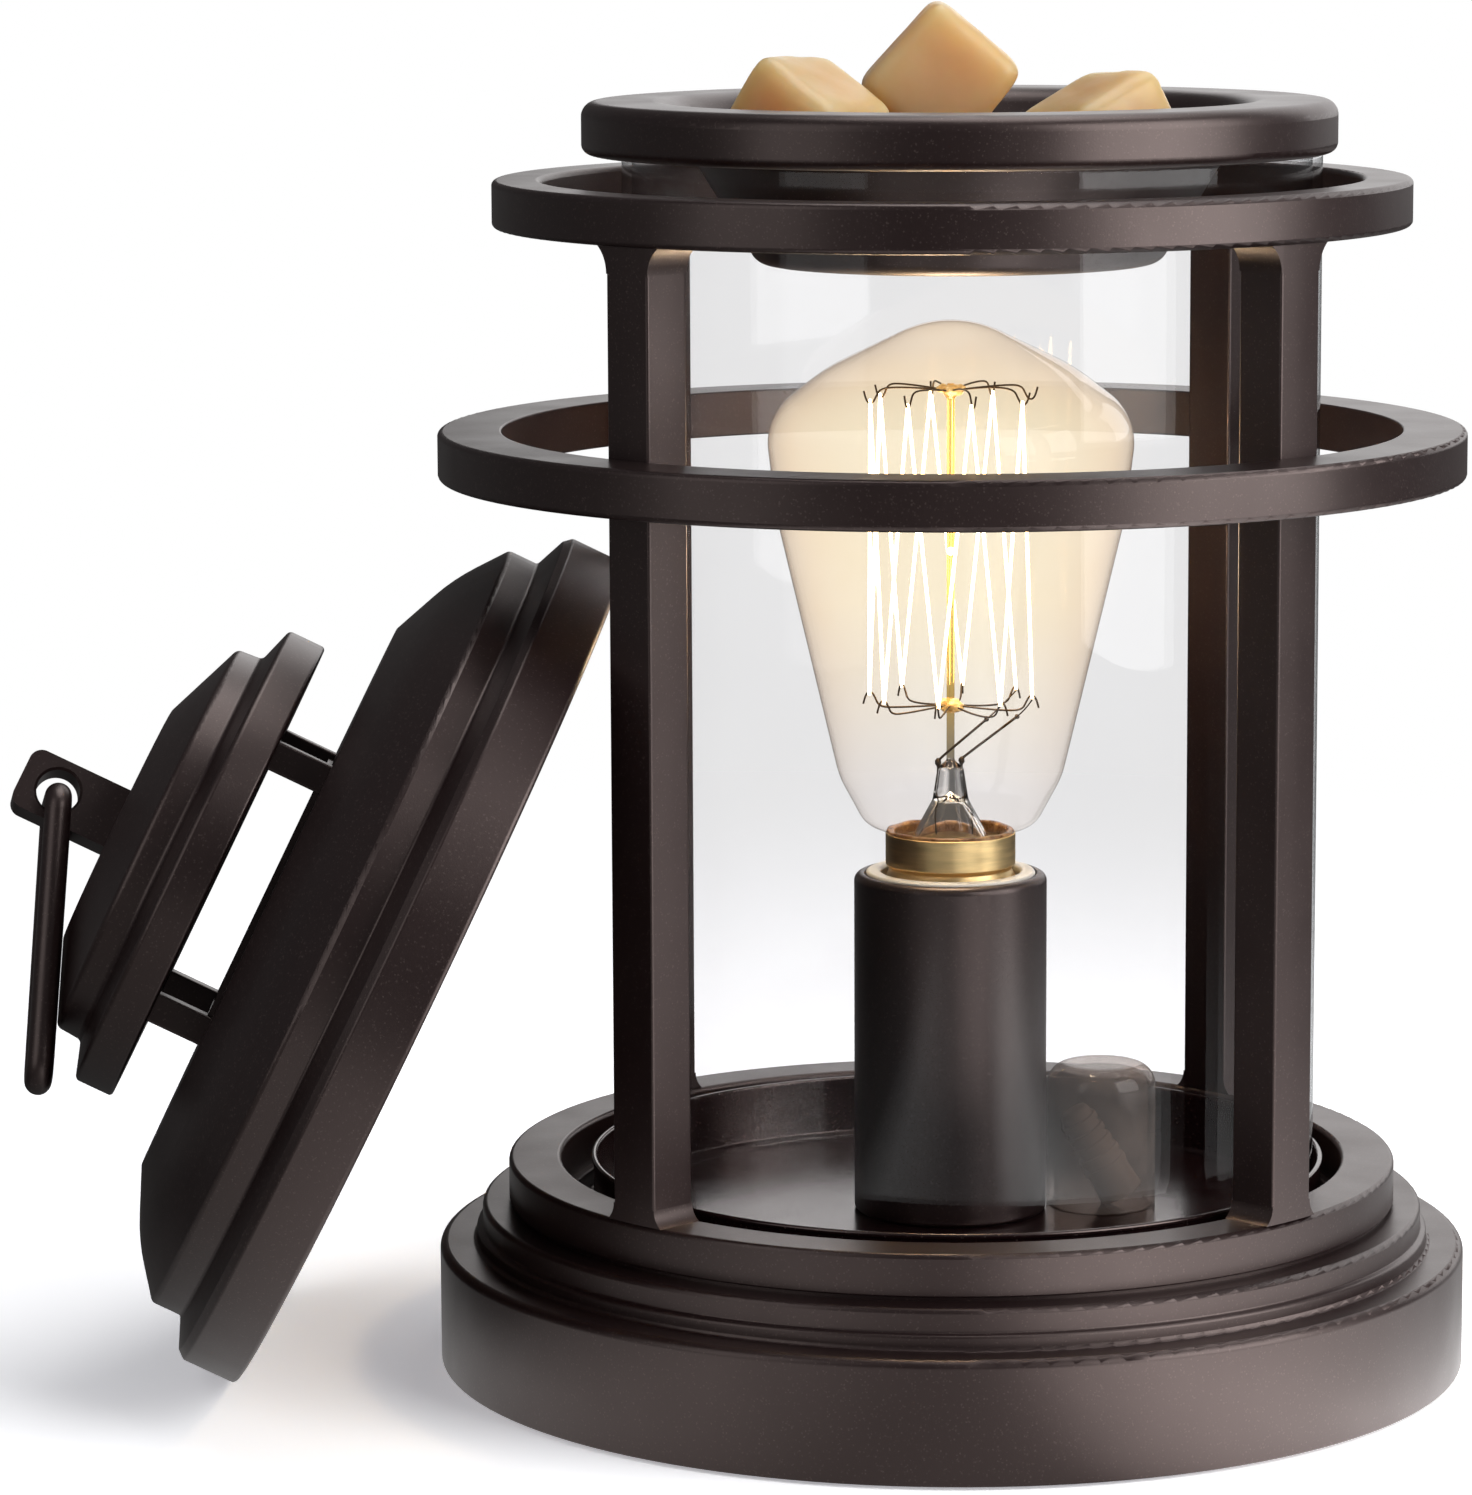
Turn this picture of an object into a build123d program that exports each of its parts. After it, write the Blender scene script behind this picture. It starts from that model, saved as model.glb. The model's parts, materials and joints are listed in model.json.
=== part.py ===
from build123d import *
from math import atan2, cos, degrees, hypot, radians, sin
import os

# Electric wax warmer: a metal lantern with a glass chimney round a bulb, a wax dish on the chimney
# and a lid with a lifting ring that leans against the lantern. Millimetres, +Z up. The origin is
# on the lantern's axis, on the surface it stands on, and the front is towards -Y.

# Fits
fit_gap = 0.3            # clear space between pieces that move past each other
neck_fit = 0.08          # the bulb's glass neck in its cap

# Lantern cage, from which the base below and the glass inside take their widths
collar_r = 89.0
collar_w = 10.6
collar_h = 9.0
collar_edge = 0.9
collar_groove = 0.8      # undercut where the collar meets the base
post_w = 11.0
post_t = 10.2
post_flare_top = 2.6
post_flare_foot = 1.7
post_edge = 0.5
mid_ring_w = 12.6
mid_ring_h = 9.5
mid_ring_drop = 49.4     # below the upper ring's underside
top_ring_out = 1.4       # beyond the posts
top_ring_w = 9.7
top_ring_h = 9.3
ring_edge = 1.1

# Base: a stepped drum spun from one sheet
base_top = 24.6          # the drum's shelf
base_out = 8.6           # the shelf, beyond the second step
base_lift = 0.6          # the drum's edge stays clear of the table
base_wall = 2.4
base_edge = 1.6          # rounding of the drum's top corner
tier_h = 7.8             # the second step
tier_out = 5.4           # beyond the collar
bead_out = 1.2           # rounded bead at the foot of the second step
bead_h = 2.8
well_in = 1.8            # side of the well that the pan lies in, from the collar's bore
well_deep = 4.0

# Pan in the well
pan_in = 3.4             # inside the well's side
pan_wall = 0.8
pan_floor = 1.2
pan_shift = 1.2          # it lies a little to one side of the well
pan_above = 0.2          # its rim against the collar's top
pan_lip = 1.1

# Chimney and dish
chimney_in = 3.6         # inside the pan's wall
chimney_wall = 2.0
chimney_shift = 4.0
chimney_rise = 4.9       # above the upper ring
dish_shift = 1.5
dish_out = 5.4           # rim, beyond the chimney
dish_rim_h = 10.3
dish_neck_r = 52.8       # outside of the bowl, under the rim
dish_taper = 13.2
dish_depth = 21.8        # bowl below the rim's underside
dish_wall = 3.0
dish_clear = 1.1         # bowl above the bulb when it is turned out
bowl_flare = 4.2         # inner edge of the rim's flat top, beyond the neck

# Lampholder
holder_r = 19.3
holder_wall = 1.2
holder_h = 68.7
liner_in = 2.3           # liner's outside, inside the sleeve's
liner_deep = 22.3        # down to the face where the contact spring lies
liner_floor_t = 8.0
liner_rise = 0.5         # the liner's lip stands above the sleeve
holder_cap_h = 6.0       # flange that carries the liner
holder_boss_h = 6.0
holder_boss_w = 3.0
screw_shell_wall = 0.6
leaf_t = 0.5
leaf_h = 3.4
leaf_w = 5.0
pipe_r = 5.0
pipe_bore = 3.6
pipe_below = 7.2         # under the well's floor
nut_h = 4.0
nut_flats = 16.0
washer_h = 1.2
washer_r = 9.5

# Bulb
cap_r = 13.0
cap_wall = 0.5
cap_h = 22.65
cap_thread_turns = 4
cap_thread_depth = 0.9
thread_pitch = 3.63      # 7 turns to the inch
bulb_lift = 10.0         # room over the bulb to turn it out
insulator_h = 3.4
insulator_r = 5.2
contact_h = 1.6
contact_sunk = 0.5       # into the insulator
contact_gap = 0.05       # tip and spring lie almost level
contact_r = 4.2
contact_stem_r = 3.0
glass_wall = 0.8
neck_in = 1.0            # glass neck, inside the cap's outside
neck_deep = 7.5          # glass inside the cap
stem_in = 2.4            # flare of the stem, inside the neck
rod_r = 0.8
cage_r = 16.4
cage_hooks = 8
cage_spin = 12.0
filament_r = 0.32
hook_wire_r = 0.22
lead_wire_r = 0.38
wire_gap = 0.15          # between the cage's wires

# Glass outline of the bulb: radius, height above the cap, rounding
shoulder_r = 21.2
shoulder_up = 4.4
shoulder_round = 11.0
side_r = 34.6
side_up = 63.5
side_round = 60.0
belly_r = 37.0
belly_up = 83.5
belly_round = 12.0
crown_r = 24.5
crown_up = 93.1
crown_round = 10.0
point_r = 5.5            # drawn-off point
point_up = 101.7
point_round = 4.0
glass_up = 102.6

# Inside the bulb: heights above the cap
pinch_low_up = 6.5
pinch_up = 13.0
rod_low_up = 14.5
hub_low_up = 25.6
hook_low_up = 27.3
hook_top_up = 86.9
rod_top_up = 89.3

# Bottom of the base
pad_in = 3.2             # inside the cover's edge
pad_h = 2.5
cover_gap = 0.4
cover_t = 1.2
spacer_r = 3.6
spacer_ring = 60.0
screw_r = 1.5
screw_head_r = 3.2
screw_head_h = 1.2
screw_slot_w = 0.9
screw_grip = 9.0         # length inside the spacer
cage_screw_r = 2.0
cage_screw_head_r = 3.6
cage_screw_head_h = 2.2
cage_screw_grip = 6.0    # length inside the collar
cord_z = 12.0
cord_bore = 3.2
bush_r = 5.4
bush_in = 4.0            # barrel inside the drum's wall
bush_flange_r = 8.0
bush_flange_t = 2.0
bush_ring_t = 3.0
bush_ring_w = 1.4
block_w = 24.0
block_d = 14.0
block_h = 11.0
block_y = 45.0
block_bore = 2.4
lead_r = 0.9
lead_apart = 1.7
lead_dip = 6.0           # lowest point of the leads, under the pipe's end

# Clear cover and ribbed connector beside the lampholder
clear_cap_r = 11.0
clear_cap_h = 29.2
clear_cap_wall = 1.6
clear_cap_shoulder = 6.5
clear_cap_angle = 4.0    # place round the sleeve, from +X
connector_r = 4.6
connector_end_r = 3.0
connector_h = 20.0
connector_lean = 30.0
connector_in = 4.2       # its foot, from the cover's middle
connector_ribs = 5
connector_rib_h = 1.2
connector_rib_out = 0.5

# Lid
lid_r = 90.0
lid_band_h = 11.2
lid_edge = 0.9
lid_wall = 2.4
lid_tier_in = 7.6
lid_tier_up = 4.2        # from the band's top to the foot of the tier
lid_tier_h = 6.2
lid_dome_in = 9.9        # highest part of the dome's bulge, from the tier
lid_dome_up = 7.6
lid_dome_round = 40.0
lid_flat_in = 23.6
lid_flat_up = 13.5
pillar_w = 5.9
pillar_h = 11.1
pillar_place = 27.0
pillar_spin = 7.0
pillar_frame_w = 3.0
pillar_frame_h = 1.0
cap_band_r = 49.2
cap_band_h = 7.9
cap_step_in = 7.4
cap_step_h = 15.6
cap_flat_in = 16.8
cap_flat_h = 22.1
cap_floor_in = 17.2
lug_w = 12.6
lug_t = 8.5
lug_h = 21.2
lug_corner = 2.6
lug_turn = 24.0          # the lug's broad face, from the lid's front
lug_hole_r = 4.3
lug_hole_in = 7.9        # hole's centre to the lug's end
lug_nut_h = 3.4
lug_nut_flats = 10.0
stud_r = 3.0
stud_h = 7.0
wire_r = 2.65            # of the lifting ring
ring_seat_gap = 0.35
ring_half = 8.0          # from the wire's middle to the ring's centre line, beside the lug
ring_foot_half = 4.0     # the same at the ring's foot
ring_len = 56.2
ring_corner = 3.0
ring_over_flat = 1.77    # ring's middle line above the wire's own radius, over the cap's flat top
ring_over_step = 2.3     # the same over the cap's step

# The lid leans on its brim
lid_tilt = 26.05         # its axis, above the table
lid_y = -10.0
lid_gap = 0.3            # brim to chimney
lid_side_sag = 0.18      # the brim comes nearest to the glass beside its highest point

# Wax cubes: sizes, and the places of their middles, with heights from the dish's top
cube = 24.3
cube_top = 22.4
cube_edge = 2.4
low_cube = 21.0
low_cube_top = 20.4
left_cube_x = -29.1
left_cube_y = -11.0
left_cube_up = -6.0
right_cube_x = 29.5
right_cube_y = -10.0
right_cube_up = -8.9
top_cube_x = -1.6
top_cube_y = 12.0
top_cube_up = 3.5
low_cube_left = -16.6
low_cube_right = 14.0
low_cube_y = 13.6

# Widths that follow
collar_bore = collar_r - collar_w
mid_ring_r = collar_r + mid_ring_w
top_ring_r = collar_r + top_ring_out
top_ring_bore = top_ring_r - top_ring_w
tier_r = collar_r + tier_out
base_r = tier_r + base_out
bead_r = tier_r + bead_out
well_r = collar_bore - well_in
shell_in_r = base_r - base_wall
tier_in_r = tier_r - base_wall
cover_r = shell_in_r - cover_gap
pad_r = cover_r - pad_in
pan_r = well_r - pan_in
chimney_r = pan_r - pan_wall - chimney_in
dish_r = chimney_r + dish_out
dish_foot_r = dish_neck_r - dish_taper
bowl_mouth_r = dish_neck_r + bowl_flare
liner_r = holder_r - liner_in
holder_in_r = holder_r - holder_wall
screw_shell_r = cap_r + fit_gap
liner_bore = screw_shell_r + screw_shell_wall
thread_root = cap_r - cap_thread_depth
neck_r = cap_r - neck_in
stem_r = neck_r - stem_in
cage_screw_ring = (collar_bore + collar_r) / 2
clear_cap_out = holder_r + clear_cap_r + fit_gap
lid_tier_r = lid_r - lid_tier_in
lid_dome_r = lid_tier_r - lid_dome_in
lid_flat_r = lid_tier_r - lid_flat_in
cap_step_r = cap_band_r - cap_step_in
cap_flat_r = cap_step_r - cap_flat_in
cap_floor_r = cap_band_r - cap_floor_in

# Heights that follow, from the table up
cover_top = pad_h + cover_t
tier_top = base_top + tier_h
tier_under = tier_top - base_wall
well_top = tier_top - well_deep
well_under = well_top - base_wall
pipe_low = well_under - pipe_below
collar_top = tier_top + collar_h
pan_inside = well_top + pan_floor
pan_top = collar_top + pan_above
holder_floor = pan_inside + holder_wall
holder_top = pan_inside + holder_h
liner_floor = holder_top - liner_deep
liner_low = liner_floor - liner_floor_t
contact_low = liner_floor + leaf_h
contact_tip = contact_low - contact_gap
insulator_low = contact_tip + contact_h - contact_sunk
cap_low = insulator_low + insulator_h
cap_top = cap_low + cap_h
neck_low = cap_top - neck_deep
hub_low = cap_top + hub_low_up
hook_low = cap_top + hook_low_up
hook_top = cap_top + hook_top_up
rod_top = cap_top + rod_top_up
dish_floor_low = cap_top + glass_up + bulb_lift + dish_clear
bowl_floor = dish_floor_low + dish_wall
chimney_top = dish_floor_low + dish_depth
dish_top = chimney_top + dish_rim_h
top_ring_z = chimney_top - chimney_rise - top_ring_h
mid_ring_z = top_ring_z - mid_ring_drop
lid_tier_low = lid_band_h + lid_tier_up
lid_tier_high = lid_tier_low + lid_tier_h
lid_dome_z = lid_tier_high + lid_dome_up
lid_flat_z = lid_tier_high + lid_flat_up
pillar_top = lid_flat_z + pillar_h
cap_flat_z = pillar_top + cap_flat_h

# The ring rests on the edge of the cap's flat top or of its step, whichever it meets first
hole_up = lug_h - lug_hole_in
flat_slope = (hole_up - wire_r - ring_over_flat) / cap_flat_r
step_slope = (hole_up + cap_flat_h - cap_step_h - wire_r - ring_over_step) / cap_step_r
ring_lean = lid_tilt - degrees(atan2(min(flat_slope, step_slope), 1))

os.makedirs("parts", exist_ok=True)


def write(name, shape):
    """Each sub-part goes to a file of its own."""
    shape.label = name
    export_step(shape, f"parts/{name}.step")
    return shape


def joined(solids):
    """Several separate solids kept as one sub-part."""
    return Compound(children=list(solids))


def turned(corners, x=0.0):
    """A solid of revolution: corners are (radius, height, rounding) in order round the section."""
    points = [(r, 0, z) for r, z, _ in corners]
    path = FilletPolyline(*points, radius=[f for _, _, f in corners], close=True)
    return Pos(x, 0, 0) * revolve(make_face(path), Axis.Z)


def rod(r, z_low, z_high, x=0.0, y=0.0):
    return Pos(x, y, z_low) * Cylinder(r, z_high - z_low, align=(Align.CENTER, Align.CENTER, Align.MIN))


def tube(r_out, r_in, z_low, z_high, x=0.0, y=0.0):
    return rod(r_out, z_low, z_high, x, y) - rod(r_in, z_low, z_high, x, y)


def around(count, radius, start=0.0):
    """Evenly spaced places on a circle."""
    turns = [radians(start + i * 360 / count) for i in range(count)]
    return [(radius * cos(t), radius * sin(t)) for t in turns]


def stick(a, b, r):
    """A round wire from one point to another."""
    a = Vector(*a)
    b = Vector(*b)
    path = Edge.make_line(a, b)
    return sweep(Plane(origin=a, z_dir=b - a) * Circle(r), path)


# Base

spacer_places = around(3, spacer_ring, 30)
cage_screw_places = around(4, cage_screw_ring, 45)


def base_shell():
    """The stepped drum with the well in its top, open below."""
    shell = turned([
        (base_r, base_lift, 0.4),
        (base_r, base_top, base_edge),
        (bead_r, base_top, 0.8),
        (bead_r, base_top + bead_h, 0.7),
        (tier_r, base_top + bead_h + 0.5, 0.4),
        (tier_r, tier_top, 1.0),
        (well_r, tier_top, 0.6),
        (well_r, well_top, 1.0),
        (pipe_r + fit_gap, well_top, 0),
        (pipe_r + fit_gap, well_under, 0),
        (well_r + base_wall, well_under, 1.0),
        (well_r + base_wall, tier_under, 1.0),
        (tier_in_r, tier_under, 1.0),
        (tier_in_r, base_top - base_wall, 0.8),
        (shell_in_r, base_top - base_wall, 1.0),
        (shell_in_r, base_lift, 0.4),
    ])
    for x, y in cage_screw_places:
        shell -= rod(cage_screw_r + 0.2, tier_under - 1, tier_top + 1, x, y)
    cord_hole = Pos(0, base_r, cord_z) * Rot(90, 0, 0) * Cylinder(bush_r, 4 * base_wall)
    return shell - cord_hole


def base_pad():
    """Felt disc under the base, with openings for the cover's screws."""
    pad = turned([(0, 0, 0), (pad_r, 0, 0.5), (pad_r, pad_h, 0.5), (0, pad_h, 0)])
    for x, y in spacer_places:
        pad -= rod(screw_head_r + 1, -1, pad_h + 1, x, y)
    return pad


def bottom_cover():
    cover = rod(cover_r, pad_h, cover_top)
    for x, y in spacer_places:
        cover -= rod(screw_r, 0, cover_top + 1, x, y)
    return cover


def cover_spacers():
    """Three posts between the cover and the underside of the well."""
    return joined(tube(spacer_r, screw_r, cover_top, well_under, x, y) for x, y in spacer_places)


def cover_screws():
    def screw(x, y):
        head = rod(screw_head_r, pad_h - screw_head_h, pad_h, x, y)
        head = fillet(head.edges().group_by(Axis.Z)[0], 0.5)
        slot = Pos(x, y, pad_h - screw_head_h) * Box(2 * screw_head_r, screw_slot_w, screw_slot_w)
        return head - slot + rod(screw_r, pad_h, cover_top + screw_grip, x, y)
    return joined(screw(x, y) for x, y in spacer_places)


def cage_screws():
    """Four screws that hold the cage's collar down on the drum."""
    def screw(x, y):
        head = rod(cage_screw_head_r, tier_under - cage_screw_head_h, tier_under, x, y)
        head = fillet(head.edges().group_by(Axis.Z)[0], 0.8)
        head_low = tier_under - cage_screw_head_h
        slot = Pos(x, y, head_low) * Box(2 * cage_screw_head_r, screw_slot_w, cage_screw_head_h)
        return head - slot + rod(cage_screw_r, tier_under, tier_top + cage_screw_grip, x, y)
    return joined(screw(x, y) for x, y in cage_screw_places)


def cord_bushing():
    """Grommet in the back of the drum, shaped to the drum's curve."""
    inner_end = shell_in_r - bush_in
    length = base_r + bush_flange_t - inner_end
    barrel = rod(bush_r, 0, length)
    flange = rod(bush_flange_r, length - 2 * bush_flange_t, length)
    flange = fillet(flange.edges().group_by(Axis.Z)[-1], 0.8)
    lay = Pos(0, inner_end, cord_z) * Rot(-90, 0, 0)
    inner_ring = rod(bush_r + bush_ring_w, 0, bush_ring_t)
    body = lay * flange - rod(base_r, 0, base_top) + lay * barrel + lay * inner_ring
    bore = Cylinder(cord_bore, 4 * length)
    return body - lay * bore


# Cage

def lantern_collar():
    ring = turned([
        (collar_bore, tier_top, 0),
        (collar_r - collar_groove, tier_top, 0),
        (collar_r - collar_groove, tier_top + collar_groove, 0.2),
        (collar_r, tier_top + collar_groove, 0.3),
        (collar_r, collar_top, collar_edge),
        (collar_bore, collar_top, collar_edge),
    ])
    for x, y in cage_screw_places:
        ring -= rod(cage_screw_r, tier_top - 1, tier_top + cage_screw_grip, x, y)
    return ring


def post(angle):
    """A cage post: its broad faces follow the cage's curve and its sides flare into the rings."""
    half = post_w / 2
    foot_end = collar_top + 2 * post_flare_foot
    top_end = top_ring_z - 2 * post_flare_top
    strip = Pos(collar_r, 0) * Rectangle(3 * post_t, post_w)
    section = strip & (Circle(collar_r) - Circle(collar_r - post_t))
    section = fillet(section.vertices(), post_edge)
    bar = extrude(Pos(0, 0, collar_top) * section, top_ring_z - collar_top)
    foot = make_face([
        Line((0, collar_top), (half + post_flare_foot, collar_top)),
        TangentArc((half, foot_end), (half + post_flare_foot, collar_top), tangent=(0, -1)),
        Line((half, foot_end), (0, foot_end)),
        Line((0, foot_end), (0, collar_top)),
    ])
    head = make_face([
        Line((0, top_end), (half, top_end)),
        TangentArc((half, top_end), (half + post_flare_top, top_ring_z), tangent=(0, 1)),
        Line((half + post_flare_top, top_ring_z), (0, top_ring_z)),
        Line((0, top_ring_z), (0, top_end)),
    ])
    wall = tube(collar_r, collar_r - post_t, collar_top, top_ring_z)
    for flare in (foot, head):
        face = flare + mirror(flare, Plane.YZ)
        bar += wall & extrude(Plane.YZ.offset(collar_r - 2 * post_t) * face, 3 * post_t)
    return Rot(0, 0, angle) * bar


def middle_ring():
    """Broad hoop that lies round the four posts."""
    high = mid_ring_z + mid_ring_h
    return turned([
        (collar_r, mid_ring_z, 0.4),
        (mid_ring_r, mid_ring_z, ring_edge),
        (mid_ring_r, high, ring_edge),
        (collar_r, high, 0.4),
    ])


def upper_ring():
    high = top_ring_z + top_ring_h
    return turned([
        (top_ring_bore, top_ring_z, 0.8),
        (top_ring_r, top_ring_z, ring_edge),
        (top_ring_r, high, ring_edge),
        (top_ring_bore, high, ring_edge),
    ])


# Pan and lampholder

def drip_pan():
    """Thin pan in the well, with a small rolled lip."""
    r_in = pan_r - pan_wall
    hole = pipe_r + pan_shift + 0.6
    return turned([
        (hole, well_top, 0),
        (pan_r, well_top, 1.2),
        (pan_r, pan_top - pan_lip, 0.2),
        (pan_r + 0.4, pan_top - pan_lip, 0.3),
        (pan_r + 0.4, pan_top, 0.5),
        (r_in, pan_top, 0.5),
        (r_in, pan_inside, 0.6),
        (hole, pan_inside, 0),
    ], pan_shift)


def lampholder_sleeve():
    return turned([
        (pipe_r, pan_inside, 0),
        (holder_r, pan_inside, 1.0),
        (holder_r, holder_top, 1.6),
        (liner_r + 0.2, holder_top, 0.3),
        (liner_r + 0.2, holder_top - holder_wall, 0),
        (holder_in_r, holder_top - holder_wall, 0.3),
        (holder_in_r, holder_floor, 0.4),
        (pipe_r, holder_floor, 0),
    ])


def lampholder_liner():
    """White insulating cup inside the sleeve."""
    high = holder_top + liner_rise
    return turned([
        (0, liner_low, 0),
        (liner_r, liner_low, 0.8),
        (liner_r, high, 0.7),
        (liner_bore, high, 0.7),
        (liner_bore, liner_floor, 0),
        (0, liner_floor, 0),
    ])


def screw_shell():
    return tube(liner_bore, screw_shell_r, liner_floor, holder_top - 1.4)


def centre_contact():
    """Sprung leaf under the bulb's tip."""
    top = contact_low - 0.2
    side = make_face(FilletPolyline(
        (-8, liner_floor), (8, liner_floor), (8, liner_floor + leaf_t), (-2, liner_floor + leaf_t),
        (-6, liner_floor + 1.4), (-4, top - leaf_t), (5, top - leaf_t), (5, top), (-5, top),
        (-8, liner_floor + 1.6),
        radius=0.12, close=True))
    return Pos(0, leaf_w / 2, 0) * extrude(Plane.XZ * side, leaf_w)


def holder_cap():
    """Threaded collar that carries the liner on the pipe."""
    cap_flange_low = liner_low - holder_cap_h
    cap_boss_low = cap_flange_low - holder_boss_h
    return turned([
        (pipe_r, cap_boss_low, 0),
        (pipe_r + holder_boss_w, cap_boss_low, 0.6),
        (pipe_r + holder_boss_w, cap_flange_low, 0.8),
        (holder_in_r - fit_gap, cap_flange_low, 0.8),
        (holder_in_r - fit_gap, liner_low, 0),
        (pipe_r, liner_low, 0),
    ])


def lamp_pipe():
    return turned([
        (pipe_bore, pipe_low, 0.3),
        (pipe_r, pipe_low, 0.5),
        (pipe_r, liner_low, 0.5),
        (pipe_bore, liner_low, 0.3),
    ])


def hex_nut(flats, bore, z):
    nut = extrude(Pos(0, 0, z) * RegularPolygon(flats / 2, 6, major_radius=False), nut_h)
    return nut - rod(bore, z - 1, z + nut_h + 1)


def pipe_nuts():
    """One nut clamps the sleeve inside, the other the pipe under the base."""
    return joined([
        hex_nut(nut_flats, pipe_r, holder_floor),
        hex_nut(nut_flats, pipe_r, well_under - washer_h - nut_h),
    ])


def pipe_washer():
    return tube(washer_r, pipe_r, well_under - washer_h, well_under)


def terminal_block():
    """Insulating block under the well, with two wire clamps."""
    middle = well_under - block_h / 2
    block = Pos(0, block_y, middle) * Box(block_w, block_d, block_h)
    block = fillet(block.edges().filter_by(Axis.Z), 1.2)
    for x in (-block_w / 4, block_w / 4):
        block -= rod(block_bore, middle - block_h, middle - block_h / 4, x, block_y)
    return block


def lamp_leads():
    """Two wires from the terminal block up through the pipe."""
    def lead(x):
        z = well_under - block_h / 2
        path = Spline(
            [(x, block_y - block_d / 2, z), (x, block_y / 2, pipe_low - lead_dip), (x, 4, pipe_low - 4),
             (x, 0, pipe_low + 3)],
            tangents=[(0, -1, 0), (0, 0, 1)])
        up = Line((x, 0, pipe_low + 3), (x, 0, liner_low))
        section = Plane(origin=path @ 0, z_dir=path % 0) * Circle(lead_r)
        return sweep(section, path) + sweep(Plane(origin=up @ 0, z_dir=up % 0) * Circle(lead_r), up)
    return joined(lead(x) for x in (-lead_apart, lead_apart))


# Clear cover and connector

clear_cap_place = Rot(0, 0, clear_cap_angle) * Pos(clear_cap_out, 0, pan_inside)


def clear_cover():
    """Smoky plastic cup standing upside down beside the sleeve."""
    r_in = clear_cap_r - clear_cap_wall
    round_out = clear_cap_r - clear_cap_shoulder
    return clear_cap_place * turned([
        (clear_cap_r, 0, 0.4),
        (clear_cap_r, clear_cap_h, round_out),
        (0, clear_cap_h, 0),
        (0, clear_cap_h - clear_cap_wall, 0),
        (r_in, clear_cap_h - clear_cap_wall, round_out - clear_cap_wall),
        (r_in, 0, 0.4),
    ])


def wire_connector():
    """Ribbed cone leaning inside the clear cover."""
    taper = (connector_r - connector_end_r) / connector_h
    upright = (Align.CENTER, Align.CENTER, Align.MIN)
    cone = Cone(connector_r, connector_end_r, connector_h, align=upright)
    cone = fillet(cone.edges().group_by(Axis.Z)[-1], 1.2)
    for i in range(connector_ribs):
        z = connector_h * (0.3 + 0.13 * i)
        cone += rod(connector_r - taper * z + connector_rib_out, z, z + connector_rib_h)
    foot_rise = connector_r * sin(radians(connector_lean))
    return clear_cap_place * Pos(connector_in, 0, foot_rise) * Rot(0, -connector_lean, 0) * cone


# Bulb

def bulb_cap():
    """Brass screw cap: thread rings below a plain skirt; the glass neck stands on its inner step."""
    outside = [(thread_root - 1.4, cap_low, 0.3), (thread_root, cap_low + 1.0, 0.3)]
    for i in range(cap_thread_turns):
        z = cap_low + 1.0 + i * thread_pitch
        outside += [(cap_r, z + 0.5 * thread_pitch, 0.8), (thread_root, z + thread_pitch, 0.5)]
    inside = [
        (cap_r, outside[-1][1] + 0.8, 0.3),
        (cap_r, cap_top, 0.2),
        (neck_r + neck_fit, cap_top, 0.2),
        (neck_r + neck_fit, neck_low, 0),
        (thread_root - cap_wall, neck_low, 0),
        (thread_root - cap_wall, cap_low + 1.2, 0.3),
        (thread_root - 1.8, cap_low + 0.5, 0),
        (thread_root - 1.8, cap_low, 0),
    ]
    return turned(outside + inside)


def bulb_insulator():
    return turned([
        (contact_stem_r, insulator_low, 0.3),
        (insulator_r, insulator_low, 0.6),
        (thread_root - 1.6, cap_low, 0),
        (contact_stem_r, cap_low, 0),
    ])


def bulb_contact():
    """Solder tip that meets the sprung leaf."""
    return turned([
        (0, contact_tip, 0),
        (contact_r, contact_tip, 0.4),
        (contact_r, insulator_low, 0),
        (contact_stem_r, insulator_low, 0),
        (contact_stem_r, cap_low, 0.4),
        (0, cap_low, 0),
    ])


# Corners of the glass outline (radius, height, rounding), from the neck to the crown
glass_outline = [
    (neck_r, neck_low, 0),
    (neck_r, cap_top + 1.0, 1.4),
    (shoulder_r, cap_top + shoulder_up, shoulder_round),
    (side_r, cap_top + side_up, side_round),
    (belly_r, cap_top + belly_up, belly_round),
    (crown_r, cap_top + crown_up, crown_round),
    (point_r, cap_top + point_up, point_round),
    (0, cap_top + glass_up, 0),
]


def inset(corners, depth):
    """The same outline moved inwards by the wall's thickness."""
    moved = []
    for (r0, z0, f), (r1, z1, _) in zip(corners, corners[1:]):
        length = hypot(r1 - r0, z1 - z0)
        dr = -depth * (z1 - z0) / length
        dz = depth * (r1 - r0) / length
        moved.append(((r0 + dr, z0 + dz), (r1 + dr, z1 + dz)))
    out = [(moved[0][0][0], moved[0][0][1], 0)]
    for (a, b), (c, d), corner in zip(moved, moved[1:], corners[1:]):
        cross = (b[0] - a[0]) * (d[1] - c[1]) - (b[1] - a[1]) * (d[0] - c[0])
        t = ((c[0] - a[0]) * (d[1] - c[1]) - (c[1] - a[1]) * (d[0] - c[0])) / cross
        out.append((a[0] + t * (b[0] - a[0]), a[1] + t * (b[1] - a[1]), corner[2]))
    out.append((0, corners[-1][1] - depth, 0))
    return out


def bulb_glass():
    """Thin envelope, open at the foot of its neck."""
    inner = inset(glass_outline, glass_wall)
    return turned(glass_outline + inner[::-1])


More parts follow.
